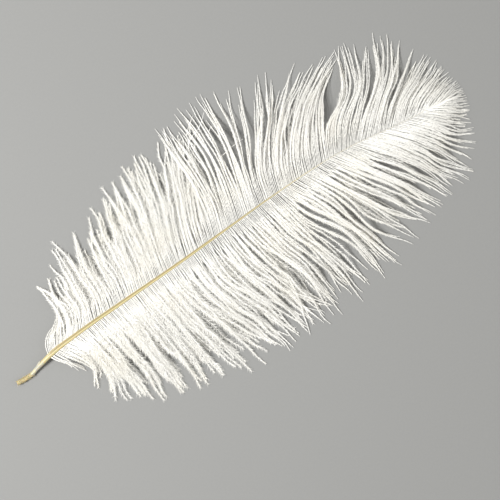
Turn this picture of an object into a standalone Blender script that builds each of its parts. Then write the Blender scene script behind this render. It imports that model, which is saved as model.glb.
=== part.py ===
"""Ostrich plume lying on a table: a bare quill that runs on as a tapering shaft, with a vane
of overlapping locks of barbs grown from each side of it, all one body.

Everything is laid out in millimetres on the table top. x runs from the cut end of the quill
straight to the plume's far end, y to the side of the longer vane and z up from the table.
The finished body is scaled to metres, with the origin on the table under its middle.
"""

import math
import random

import bmesh
import bpy
from mathutils import Matrix, Vector

MM = 0.001

# The shaft's centre line and thickness: x, y, height above the table, diameter.
SHAFT = (
    (0.0, 0.0, 1.0, 2.2),
    (8.0, -0.5, 1.3, 2.4),
    (13.0, 0.8, 2.3, 2.7),
    (18.0, 2.5, 3.4, 3.0),
    (25.0, 4.0, 4.4, 2.8),
    (40.0, 4.7, 5.2, 2.3),
    (70.0, 5.3, 5.5, 1.8),
    (100.0, 6.0, 5.7, 1.6),
    (130.0, 7.0, 5.8, 1.4),
    (160.0, 8.3, 6.0, 1.2),
    (190.0, 8.8, 6.3, 1.1),
    (212.0, 7.8, 6.5, 1.0),
    (235.0, 4.5, 6.2, 0.9),
    (260.0, 1.5, 4.6, 0.8),
    (276.0, 0.2, 3.0, 0.7),
)
SHAFT_RINGS = 36
SHAFT_SIDES = 8
# Above 1, this sets the shaft's rings closer together at the bent quill end.
SHAFT_RING_BIAS = 1.5

# Each lock of barbs: x of its root on the shaft, then x and y of its bend and of its tip.
UPPER_LOCKS = (
    (22.0, 29.0, 13.5, 33.0, 15.0),
    (28.0, 38.5, 20.0, 36.5, 31.0),
    (33.0, 41.0, 25.0, 35.0, 37.0),
    (38.0, 43.0, 26.0, 45.0, 37.0),
    (46.0, 51.0, 31.0, 51.5, 48.0),
    (53.0, 57.5, 30.0, 54.0, 52.0),
    (58.0, 62.5, 34.0, 67.0, 50.0),
    (66.0, 74.5, 36.0, 79.5, 51.5),
    (73.0, 81.0, 38.0, 85.0, 56.0),
    (80.0, 88.0, 38.0, 91.0, 57.0),
    (87.0, 95.5, 40.0, 99.0, 60.5),
    (94.0, 104.5, 42.0, 107.0, 65.0),
    (101.0, 112.0, 45.0, 116.0, 66.0),
    (108.0, 118.5, 44.0, 123.0, 65.0),
    (115.0, 125.5, 43.0, 131.0, 65.0),
    (121.0, 134.0, 45.0, 148.0, 68.0),
    (127.0, 141.0, 47.0, 154.0, 66.5),
    (131.0, 134.5, 45.0, 133.5, 72.5),
    (135.5, 138.0, 45.0, 138.0, 70.0),
    (139.0, 145.0, 45.0, 145.0, 72.5),
    (143.0, 150.0, 45.0, 150.0, 74.5),
    (147.0, 154.5, 46.0, 155.5, 73.5),
    (150.5, 160.0, 43.0, 163.0, 74.0),
    (154.0, 166.5, 46.0, 170.0, 71.0),
    (158.0, 171.5, 45.0, 182.0, 66.0),
    (163.0, 184.0, 49.0, 194.0, 66.0),
    (175.0, 197.0, 49.0, 211.0, 60.0),
    (183.0, 203.0, 47.0, 221.0, 55.5),
    (191.0, 209.5, 44.0, 228.0, 56.0),
    (199.0, 214.0, 39.0, 234.0, 51.5),
    (204.0, 223.0, 34.0, 237.0, 55.0),
    (212.0, 232.5, 36.0, 244.0, 53.0),
    (220.0, 238.0, 32.0, 250.0, 48.5),
    (226.0, 245.0, 31.0, 256.0, 51.0),
    (232.0, 251.5, 29.5, 261.0, 47.0),
    (238.0, 256.5, 26.0, 264.5, 41.0),
    (243.0, 261.0, 24.0, 269.5, 32.5),
    (250.0, 268.0, 18.5, 275.5, 24.0),
    (256.0, 270.5, 14.5, 277.5, 18.0),
    (263.0, 273.5, 9.5, 279.0, 11.5),
    (270.0, 277.0, 4.0, 280.0, 5.0),
)
LOWER_LOCKS = (
    (23.0, 28.0, -6.5, 31.0, -11.0),
    (28.0, 35.0, -8.0, 37.5, -15.0),
    (33.0, 39.0, -14.0, 36.0, -26.0),
    (38.0, 42.5, -25.0, 38.0, -36.0),
    (43.0, 47.0, -25.0, 46.0, -39.5),
    (48.0, 51.5, -25.0, 51.0, -42.0),
    (54.0, 58.5, -30.0, 58.0, -50.0),
    (61.0, 65.0, -30.0, 66.5, -51.0),
    (68.0, 72.0, -30.0, 73.0, -51.5),
    (75.0, 79.0, -30.0, 80.0, -52.5),
    (82.0, 86.0, -30.0, 87.0, -55.0),
    (89.0, 93.5, -30.0, 95.0, -56.0),
    (95.5, 101.5, -31.0, 106.0, -62.0),
    (103.0, 108.0, -33.0, 112.0, -55.0),
    (111.0, 118.5, -39.0, 125.0, -59.0),
    (118.5, 125.5, -36.0, 131.5, -63.0),
    (126.0, 134.5, -40.0, 138.5, -61.0),
    (133.0, 141.5, -41.0, 145.5, -61.5),
    (139.5, 147.5, -40.0, 151.5, -61.0),
    (145.5, 154.5, -40.0, 156.0, -64.0),
    (151.0, 159.5, -33.0, 161.0, -58.0),
    (155.0, 165.0, -35.0, 167.0, -57.0),
    (159.0, 171.5, -36.0, 174.5, -63.5),
    (165.0, 180.0, -39.0, 184.0, -58.0),
    (171.0, 188.5, -35.0, 192.0, -58.0),
    (177.0, 194.0, -35.0, 199.0, -58.0),
    (183.0, 199.0, -36.0, 205.0, -59.0),
    (190.0, 205.0, -38.0, 214.0, -53.0),
    (197.0, 214.0, -39.0, 221.0, -51.0),
    (204.0, 222.5, -36.0, 230.0, -47.5),
    (211.0, 231.0, -33.0, 239.0, -44.0),
    (218.0, 238.0, -29.0, 247.0, -40.5),
    (225.0, 247.0, -29.5, 257.5, -41.0),
    (232.0, 251.5, -24.0, 261.0, -37.5),
    (239.0, 258.5, -23.5, 266.0, -31.0),
    (246.0, 262.5, -20.5, 270.5, -26.0),
    (253.0, 266.5, -15.0, 273.0, -19.0),
    (261.0, 271.5, -8.5, 276.5, -11.0),
    (269.0, 276.0, -2.5, 279.0, -4.0),
)

# The angle between the shaft and a barb where it leaves it, at points along x.
UPPER_LEAVE_DEG = ((22, 60), (55, 73), (150, 76), (200, 73), (222, 53), (245, 49), (275, 38))
LOWER_LEAVE_DEG = ((22, 60), (45, 75), (140, 79), (180, 69), (215, 63), (245, 53), (275, 25))

# How far a lock keeps the direction in which it leaves the shaft, as a share of the way from
# its root to its bend.
LOCK_LEAD = 0.4

# A lock's rings, by fraction of its length, with half its width there as a share of the
# spacing of the roots, and half its thickness, which a lock under full length has less of.
LOCK_RINGS = (0.0, 0.13, 0.32, 0.54, 0.74, 0.89)
LOCK_HALF_WIDTH = (0.56, 0.58, 0.58, 0.52, 0.42, 0.25)
LOCK_HALF_THICKNESS = (0.45, 0.9, 1.5, 1.9, 1.8, 1.5)
LOCK_FULL_LENGTH = 40.0
LOCK_LEAST_SHARE = 0.4
# The width of a lock's flat underside, as a share of its whole width.
LOCK_FLAT = 0.45

# A lock's height: its crest stands over the shaft by a share of the lock's length, and then
# it falls through a middle, given as a share of the crest, to its outer end on the table.
LOCK_CREST = 0.3
LOCK_RISE = 0.045
LOCK_MIDDLE = (0.62, 0.72)
LOCK_OUTER_HEIGHT = (0.88, 1.25)
LOCK_TIP_HEIGHT = 0.7
# How far a lock lies over or under the next one, and its own unevenness on top of that.
LOCK_SHINGLE = 0.35
LOCK_UNEVEN = 0.25
SEED = 5

# How deep the cutter under the table top reaches, and how far it stands out all round.
CUTTER_DEPTH = 10.0
CUTTER_MARGIN = 20.0

PLUME_WHITE = (0.83, 0.81, 0.76, 1.0)
PLUME_ROUGHNESS = 0.85


def clear_scene():
    """Removes every object of the scene."""
    for old in list(bpy.data.objects):
        bpy.data.objects.remove(old)


def at(knots, x):
    """The value at x of the straight runs through knots, a row of (x, value) pairs."""
    if x <= knots[0][0]:
        return knots[0][1]
    for (x0, low), (x1, high) in zip(knots, knots[1:]):
        if x <= x1:
            return low + (high - low) * (x - x0) / (x1 - x0)
    return knots[-1][1]


def smooth_curve(points, steps=24):
    """A fine row of points on the smooth curve through the given ones."""
    gaps = [(b - a).length for a, b in zip(points, points[1:])]
    slopes = [(b - a) / gap for a, b, gap in zip(points, points[1:], gaps)]
    tangents = [slopes[0]]
    for before, after, near, far in zip(slopes, slopes[1:], gaps, gaps[1:]):
        tangents.append((before * far + after * near) / (near + far))
    tangents.append(slopes[-1])
    curve = []
    for i, gap in enumerate(gaps):
        for step in range(steps):
            s = step / steps
            curve.append(
                points[i] * (1 + 2 * s) * (1 - s) ** 2
                + tangents[i] * gap * s * (1 - s) ** 2
                + points[i + 1] * s * s * (3 - 2 * s)
                + tangents[i + 1] * gap * s * s * (s - 1)
            )
    return curve + [points[-1]]


def along(curve, fraction):
    """The point at a fraction of a fine curve's length, and the direction there."""
    gaps = [(b - a).length for a, b in zip(curve, curve[1:])]
    left = fraction * sum(gaps)
    for a, b, gap in zip(curve, curve[1:], gaps):
        if left <= gap:
            return a.lerp(b, left / gap), (b - a).normalized()
        left -= gap
    return curve[-1], (curve[-1] - curve[-2]).normalized()


def shaft_point(x):
    """The shaft's centre at x."""
    height = at([(row[0], row[2]) for row in SHAFT], x)
    return Vector((x, at([(row[0], row[1]) for row in SHAFT], x), height))


def shaft_heading(x):
    """The level direction of the shaft at x, towards the plume's end."""
    return (shaft_point(x + 1) - shaft_point(x - 1)).to_2d().to_3d().normalized()


def ring_frame(centre, side, half_width, half_thickness):
    """Takes a flat outline, drawn in x and y, to a ring across a body, with y up."""
    forward = Vector((0, 0, 1)).cross(side)
    columns = (side * half_width, Vector((0, 0, 1)) * half_thickness, -forward)
    turn = Matrix(columns).transposed().to_4x4()
    return Matrix.Translation(centre) @ turn


def body_along(name, outline, frames, tip=None):
    """A closed body whose end face is the outline, drawn out through a row of ring frames.

    With a tip, the last ring is drawn on to that point.
    """
    bm = bmesh.new()
    base = bm.faces.new([bm.verts.new(frames[0] @ Vector((x, y, 0))) for x, y in outline])
    face = base
    ends = frames[1:] + ([frames[-1]] if tip else [])
    for before, after in zip(frames, ends):
        grown = bmesh.ops.extrude_face_region(bm, geom=[face])["geom"]
        if face is not base:
            bmesh.ops.delete(bm, geom=[face], context="FACES_ONLY")
        face = next(piece for piece in grown if isinstance(piece, bmesh.types.BMFace))
        bmesh.ops.transform(bm, matrix=after @ before.inverted(), verts=list(face.verts))
    if tip:
        bmesh.ops.pointmerge(bm, verts=list(face.verts), merge_co=tip)
    bmesh.ops.recalc_face_normals(bm, faces=bm.faces)
    mesh = bpy.data.meshes.new(name)
    bm.to_mesh(mesh)
    bm.free()
    body = bpy.data.objects.new(name, mesh)
    bpy.context.scene.collection.objects.link(body)
    return body


def make_shaft():
    """The quill and the shaft that it runs on as, round all the way."""
    curve = smooth_curve([Vector(row[:3]) for row in SHAFT])
    thickness = [(row[0], row[3]) for row in SHAFT]
    turns = [2 * math.pi * (i + 0.5) / SHAFT_SIDES for i in range(SHAFT_SIDES)]
    frames = []
    for i in range(SHAFT_RINGS):
        centre, heading = along(curve, (i / (SHAFT_RINGS - 1)) ** SHAFT_RING_BIAS)
        side = heading.cross(Vector((0, 0, 1))).normalized()
        radius = at(thickness, centre.x) / 2
        frames.append(ring_frame(centre, side, radius, radius))
    return body_along("shaft", [(math.cos(a), math.sin(a)) for a in turns], frames)


def lock_height(root_height, length, fraction):
    """How high a lock's middle runs: up from the shaft to a crest, then down to the table."""
    crest = root_height + LOCK_RISE * length
    knots = (
        (0.0, root_height),
        (LOCK_CREST, crest),
        (LOCK_MIDDLE[0], LOCK_MIDDLE[1] * crest),
        LOCK_OUTER_HEIGHT,
        (1.0, LOCK_TIP_HEIGHT),
    )
    return at(knots, fraction)


def make_lock(name, row, leave_deg, side_sign, spacing, lift):
    """One lock of barbs: a flat blade that leaves the shaft, arches over and ends in a point."""
    root = shaft_point(row[0])
    bend = Vector((row[1], row[2], 0))
    tip = Vector((row[3], row[4], 0))
    heading = shaft_heading(row[0])
    leave = Matrix.Rotation(side_sign * math.radians(at(leave_deg, row[0])), 3, "Z") @ heading
    foot = Vector((root.x, root.y, 0))
    lead = foot + leave * (bend - foot).length * LOCK_LEAD
    curve = smooth_curve([foot, lead, bend, tip])
    length = sum((b - a).length for a, b in zip(curve, curve[1:]))
    share = max(LOCK_LEAST_SHARE, min(1.0, length / LOCK_FULL_LENGTH))
    frames = []
    for i, fraction in enumerate(LOCK_RINGS):
        centre, direction = along(curve, fraction)
        centre.z = lock_height(root.z, length, fraction) + lift
        across = direction.cross(Vector((0, 0, 1))).normalized()
        if i == 0:
            across = heading * side_sign
        half_width = spacing * LOCK_HALF_WIDTH[i]
        half_thickness = LOCK_HALF_THICKNESS[i] * share
        frames.append(ring_frame(centre, across, half_width, half_thickness))
    tip.z = LOCK_TIP_HEIGHT
    outline = ((1, 0), (0, 1), (-1, 0), (-LOCK_FLAT, -1), (LOCK_FLAT, -1))
    return body_along(name, outline, frames, tip)


def make_vane(name, rows, leave_deg, side_sign, chance):
    """The locks of one side, each as wide as its share of the shaft and shingled on the next."""
    locks = []
    for i, row in enumerate(rows):
        before = rows[max(i - 1, 0)][0]
        after = rows[min(i + 1, len(rows) - 1)][0]
        share = (after - before) / (min(i + 1, len(rows) - 1) - max(i - 1, 0))
        spacing = share * math.sin(math.radians(at(leave_deg, row[0])))
        lift = LOCK_SHINGLE * (1 if i % 2 else -1) + chance.uniform(-1, 1) * LOCK_UNEVEN
        locks.append(make_lock(f"{name}_{i}", row, leave_deg, side_sign, spacing, lift))
    return locks


def apply_boolean(body, operation, others):
    """Joins other closed bodies to a body, or takes them off it, and removes them.

    The locks' thin roots cross each other so closely that only the MANIFOLD solver closes the
    seams between them.
    """
    group = bpy.data.collections.new("operands")
    for other in others:
        group.objects.link(other)
    modifier = body.modifiers.new("join_or_cut", "BOOLEAN")
    modifier.operation = operation
    modifier.operand_type = "COLLECTION"
    modifier.collection = group
    modifier.solver = "MANIFOLD"
    body_now = body.evaluated_get(bpy.context.evaluated_depsgraph_get())
    mesh = bpy.data.meshes.new_from_object(body_now)
    body.modifiers.clear()
    body.data = mesh
    for other in others:
        bpy.data.objects.remove(other)
    bpy.data.collections.remove(group)


def fill_pockets(body):
    """Fills the air pockets that are shut in between crossing locks."""
    bm = bmesh.new()
    bm.from_mesh(body.data)
    surfaces = []
    unseen = set(bm.faces)
    while unseen:
        surface = {unseen.pop()}
        frontier = list(surface)
        while frontier:
            face = frontier.pop()
            found = {other for edge in face.edges for other in edge.link_faces} & unseen
            unseen -= found
            surface |= found
            frontier += found
        surfaces.append(surface)
    outside = max(surfaces, key=len)
    inside = [face for face in bm.faces if face not in outside]
    bmesh.ops.delete(bm, geom=inside, context="FACES")
    bm.to_mesh(body.data)
    bm.free()


def make_cutter(low, high):
    """A block whose top is the table top, wider than the plume all round."""
    size = Vector((high.x - low.x, high.y - low.y, 0)) + Vector((2, 2, 0)) * CUTTER_MARGIN
    size.z = CUTTER_DEPTH
    middle = Vector(((low.x + high.x) / 2, (low.y + high.y) / 2, -CUTTER_DEPTH / 2))
    bm = bmesh.new()
    place = Matrix.Translation(middle) @ Matrix.Diagonal(size).to_4x4()
    bmesh.ops.create_cube(bm, size=1.0, matrix=place)
    mesh = bpy.data.meshes.new("under_table")
    bm.to_mesh(mesh)
    bm.free()
    cutter = bpy.data.objects.new("under_table", mesh)
    bpy.context.scene.collection.objects.link(cutter)
    return cutter


def plume_material():
    """Barbs of white down: dull, with no metal."""
    material = bpy.data.materials.new("plume")
    material.use_nodes = True
    shader = material.node_tree.nodes["Principled BSDF"]
    shader.inputs["Base Color"].default_value = PLUME_WHITE
    shader.inputs["Roughness"].default_value = PLUME_ROUGHNESS
    shader.inputs["Metallic"].default_value = 0.0
    return material


def make_feather():
    """The whole feather as one body, lying flat on the table."""
    chance = random.Random(SEED)
    feather = make_shaft()
    feather.name = "feather"
    locks = make_vane("upper", UPPER_LOCKS, UPPER_LEAVE_DEG, 1, chance)
    locks += make_vane("lower", LOWER_LOCKS, LOWER_LEAVE_DEG, -1, chance)
    apply_boolean(feather, "UNION", locks)
    fill_pockets(feather)
    points = [vertex.co for vertex in feather.data.vertices]
    low = Vector([min(point[i] for point in points) for i in range(3)])
    high = Vector([max(point[i] for point in points) for i in range(3)])
    apply_boolean(feather, "DIFFERENCE", [make_cutter(low, high)])
    tips = [row[4] for row in UPPER_LOCKS + LOWER_LOCKS]
    length = max(row[3] for row in UPPER_LOCKS + LOWER_LOCKS)
    middle = Vector((length / 2, (min(tips) + max(tips)) / 2, 0))
    feather.data.transform(Matrix.Scale(MM, 4) @ Matrix.Translation(-middle))
    feather.data.materials.clear()
    feather.data.materials.append(plume_material())
    feather.data.update()
    return feather


clear_scene()
make_feather()
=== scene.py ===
"""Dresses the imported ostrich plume: a horny quill and shaft, and two vanes of loose barbs.

Lengths are millimetres on the table top, as the feather was measured: x runs from the quill's
cut end straight to the plume's end, y to the side of the longer vane, z up. MM and MIDDLE take
them to the frame's metres. Only the camera's height, the floor and the lights are in metres.
"""

import math
from functools import partial

import bmesh
import bpy
import numpy as np
from bpy.props import FloatProperty, FloatVectorProperty, IntProperty, PointerProperty
from mathutils import Matrix, Vector, noise


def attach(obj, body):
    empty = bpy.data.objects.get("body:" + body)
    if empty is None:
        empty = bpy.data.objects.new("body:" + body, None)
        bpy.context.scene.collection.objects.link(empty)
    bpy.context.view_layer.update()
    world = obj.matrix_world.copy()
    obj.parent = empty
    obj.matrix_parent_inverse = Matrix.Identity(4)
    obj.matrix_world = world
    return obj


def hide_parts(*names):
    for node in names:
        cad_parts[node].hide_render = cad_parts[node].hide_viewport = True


bl_info = {
    "name": "Ostrich plume",
    "version": (1, 0, 0),
    "blender": (4, 5, 0),
    "location": "3D View > Sidebar > Plume",
    "description": "Builds a white ostrich plume from its shaft, its barbs and their barbules",
    "category": "Add Mesh",
}

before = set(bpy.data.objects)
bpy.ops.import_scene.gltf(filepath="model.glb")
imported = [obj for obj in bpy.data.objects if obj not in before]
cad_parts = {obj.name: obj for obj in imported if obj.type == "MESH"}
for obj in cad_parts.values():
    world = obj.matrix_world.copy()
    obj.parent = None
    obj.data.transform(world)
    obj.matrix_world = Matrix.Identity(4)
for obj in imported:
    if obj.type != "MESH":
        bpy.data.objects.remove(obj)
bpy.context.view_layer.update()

MM = 0.001
NODE = "feather"
BODY = "root"

# The shaft's centre line and thickness: x, y, height above the table, diameter.
SHAFT = np.array(
    (
        (0, 0, 1.25, 2.4), (4, -0.35, 1.25, 2.5), (8, -0.45, 1.4, 2.3), (13, 0.85, 2.3, 2.35),
        (18, 1.9, 3.4, 2.6), (25, 3.2, 4.4, 2.9), (40, 4.3, 5.2, 2.4), (70, 5.2, 5.5, 2.1),
        (100, 5.85, 5.7, 1.7), (130, 7, 5.8, 1.3), (160, 8.3, 6, 0.95), (190, 8.8, 6.3, 0.7),
        (212, 7.8, 6.5, 0.5), (235, 4.5, 6.2, 0.4), (260, 1.5, 4.4, 0.3), (270, 0.6, 2.6, 0.25),
    )
)

# Each strand of barbs: x of its root on the shaft, then x and y of two bends and of its tip.
UPPER_STRANDS = (
    (21.5, 23.5, 8.5, 28.5, 13.5, 32.8, 14.6), (23.5, 26.5, 9.5, 31.5, 14, 35, 17),
    (26, 29.5, 10, 34.5, 14.5, 37.8, 18.7), (28.5, 32.5, 10, 37, 15.5, 39.5, 20),
    (30.5, 34.5, 10, 38.5, 17, 40, 23.5), (31.9, 36.5, 10, 37.8, 24, 35, 36.5),
    (33, 38.5, 11, 41, 21, 37.2, 31.5), (35, 41, 13, 41.5, 24.5, 35.3, 37),
    (37, 42, 12, 42, 27, 43.7, 37),
    (39, 45, 14, 44.5, 28, 45.5, 36), (42, 47, 14, 47.5, 25, 48.5, 35),
    (46, 49.5, 14, 50.3, 27, 50.7, 42.5), (48.5, 51.5, 14, 52.3, 28, 51.8, 48),
    (51, 53.5, 14, 54, 30, 53.5, 47.5), (54, 58, 15, 57, 33, 54, 52),
    (57, 60.5, 15, 60, 28, 58.7, 40.5), (58.5, 60.8, 14, 61.5, 33, 66.5, 50),
    (60.5, 63, 14, 64, 32, 67, 49), (62.5, 65, 14, 65.5, 28, 67.8, 39),
    (65, 67, 13, 67.5, 27, 70.5, 40), (67, 69, 13, 70.5, 31, 73.3, 46),
    (69, 71, 13, 72.5, 31, 76, 45), (71, 73.5, 14, 75, 38, 79.5, 51.5),
    (73.5, 76, 14, 78.5, 37, 82.7, 51), (76, 78.5, 14, 82, 37, 84.7, 55.3),
    (78.5, 81, 14, 85.5, 38, 90.2, 56.2), (81, 83.5, 14, 87.5, 36, 91.7, 55),
    (83.5, 86, 15, 90, 37, 94.2, 54.5), (86, 88.5, 16, 92, 38, 96, 56.5),
    (88, 90.5, 16, 95.5, 40, 98.6, 60.3), (90, 92.5, 17, 97.5, 41, 100.5, 60),
    (91.7, 94.5, 17, 99.5, 41, 102.8, 60), (93.3, 96, 18, 101.5, 41, 104.5, 59.5),
    (95, 97.5, 18, 104, 43, 106, 64), (96.7, 99.5, 19, 105.5, 44, 107.3, 64.5),
    (98, 100.5, 18, 107.5, 40, 112, 59.3), (99.5, 102, 18, 110, 40, 114.4, 59),
    (100.7, 103, 17, 111, 41, 115.8, 66), (102, 105, 18, 113.5, 41, 118.3, 63.8),
    (103.5, 106.5, 18, 114.5, 38, 119, 59), (104.8, 108, 18, 116, 38, 121, 57),
    (106, 109, 17, 118.5, 43, 122.7, 64.8), (107.5, 110.5, 19, 119.5, 41, 129, 60),
    (109.5, 113, 19, 123, 43, 131, 65), (112, 115.5, 19, 125, 41, 133, 61),
    (114.5, 118, 19, 127.5, 40, 140, 61), (117, 120.5, 19, 130, 41, 144.3, 66.5),
    (119.5, 123, 19, 131.5, 39, 146.5, 67.5), (122, 125.3, 20, 133, 38, 147, 60),
    (124.7, 128.2, 20, 136, 40, 142.5, 56), (127.5, 131.5, 20, 134.3, 45, 133.4, 72.3),
    (129, 133, 20, 134.5, 45, 133.3, 67), (130.5, 134.3, 20, 136, 45, 135.8, 69),
    (132, 136, 20, 137, 45, 137.8, 69.5), (134, 137.5, 20, 140.3, 45, 139.7, 69.3),
    (137, 140, 19, 144.3, 43, 143.9, 69.5), (139, 142, 19, 146.5, 43, 145, 72.5),
    (141, 144.2, 19, 149.3, 44, 148.4, 71.8), (142.7, 145.8, 19, 150.6, 44, 149.8, 74.6),
    (144.2, 147.5, 19, 151.8, 42, 152, 71), (145.8, 149, 19, 153.7, 45, 155.2, 73.3),
    (147.4, 150.5, 19, 154.6, 44, 157, 70), (149.3, 152.3, 19, 158.5, 45, 159.2, 74),
    (151, 154, 19, 159.5, 42, 161.7, 69.8), (152.7, 155.5, 19, 161, 46, 163.6, 73.6),
    (154.5, 157.5, 20, 166, 46, 169.9, 71), (156.2, 159, 20, 168.5, 47, 177, 67.1),
    (157.8, 161, 21, 172.5, 46, 180.7, 66.2), (159.4, 162.5, 21, 174, 46.5, 182.4, 66),
    (161, 164.5, 21, 178, 44.5, 188.4, 63), (163, 166.5, 21, 183, 47, 193.2, 65.6),
    (165, 168.5, 21, 186, 45, 196.5, 65.7), (166.7, 170, 20, 187.5, 45.5, 197.8, 60),
    (168.2, 171.5, 20, 187, 43, 197, 57), (169.8, 173.3, 19, 190, 43, 207.6, 58),
    (171.5, 174.9, 19, 193, 43, 213, 60.5), (173.2, 176.6, 19, 194, 42, 211.7, 54.8),
    (174.9, 178.2, 19, 194.5, 40, 214.3, 53.7), (176.7, 180, 18, 193, 38.5, 220.7, 55.2),
    (179, 182.8, 19, 199, 38, 226.4, 56), (181.5, 185.5, 19, 202, 38.5, 228.7, 54.7),
    (184.3, 188.3, 19, 205.5, 38.5, 234.2, 54.8), (187.2, 191.2, 19, 207.5, 38, 232.7, 52.2),
    (190, 194, 19, 209.5, 38, 233.3, 50.6), (193, 197.2, 19, 211, 37, 231, 50),
    (196, 200.2, 18.5, 212, 36, 229, 48.5), (199, 203.8, 19.5, 212.8, 35, 228, 48.2),
    (200.8, 207, 20.7, 224.5, 33.3, 236.3, 55.7), (202.7, 209.5, 20.5, 226.5, 34, 235.4, 54.5),
    (204.7, 211.5, 20, 229.5, 36, 237.5, 54.5), (206.7, 213.5, 19.5, 231, 35, 239, 54.3),
    (208.8, 215.8, 18.5, 233.5, 33, 241.8, 54.5), (211.2, 218.2, 17.5, 234.5, 31.5, 244.4, 51.6),
    (213.3, 221, 16.5, 236.5, 32, 248.7, 47.7), (215.5, 223, 15.5, 239.5, 30.5, 249.6, 46.2),
    (218, 226.5, 15.5, 246, 32.5, 255.5, 51.5), (220.5, 229, 15.5, 247.5, 31.5, 255.3, 45.5),
    (222.5, 231, 15, 249.5, 31.5, 259, 47), (224.5, 233, 14.5, 251, 30.5, 261.8, 46.7),
    (226.5, 235.5, 14.5, 253, 29, 261.8, 42), (228.5, 237.5, 14.5, 255, 29, 264.5, 40.5),
    (230.3, 239.5, 15, 256, 27, 263.5, 38), (232.5, 242, 14, 258, 24.5, 269.2, 32.3),
    (235.5, 245, 13, 259, 20.5, 271.8, 27.8), (238, 247, 12.5, 261.5, 19.5, 273.8, 25.3),
    (240.5, 249.5, 12, 263.5, 18.5, 274.5, 23.5), (243, 252, 11, 265.5, 16.5, 276, 20.9),
    (245.5, 254.5, 10, 267, 15, 275.9, 19.5), (248, 257, 9.5, 268.5, 13.5, 276.5, 16.5),
    (249.8, 258.3, 8.6, 268.3, 12.2, 276.6, 15.4), (251.5, 260, 7.5, 270, 10.5, 278, 12),
    (253.5, 261.5, 6.5, 270.5, 9.3, 276.2, 10.5), (255.3, 263, 5.6, 271.5, 8.2, 277.3, 9.4),
    (257, 264.5, 4.8, 272.5, 7.2, 278.2, 8.2), (258.7, 266, 4, 273.5, 6, 279, 6.4),
    (260.3, 267.5, 3.3, 274.5, 4.9, 278.8, 5.2), (261.8, 268.5, 2.7, 275, 3.8, 278.9, 3.9),
    (263.2, 270, 2, 275.5, 2.7, 279.2, 2.4), (264.6, 271, 1.4, 276, 1.6, 279.3, 0.9),
    (266, 272, 0.8, 276.5, 0.5, 279, -0.6),
)
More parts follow.
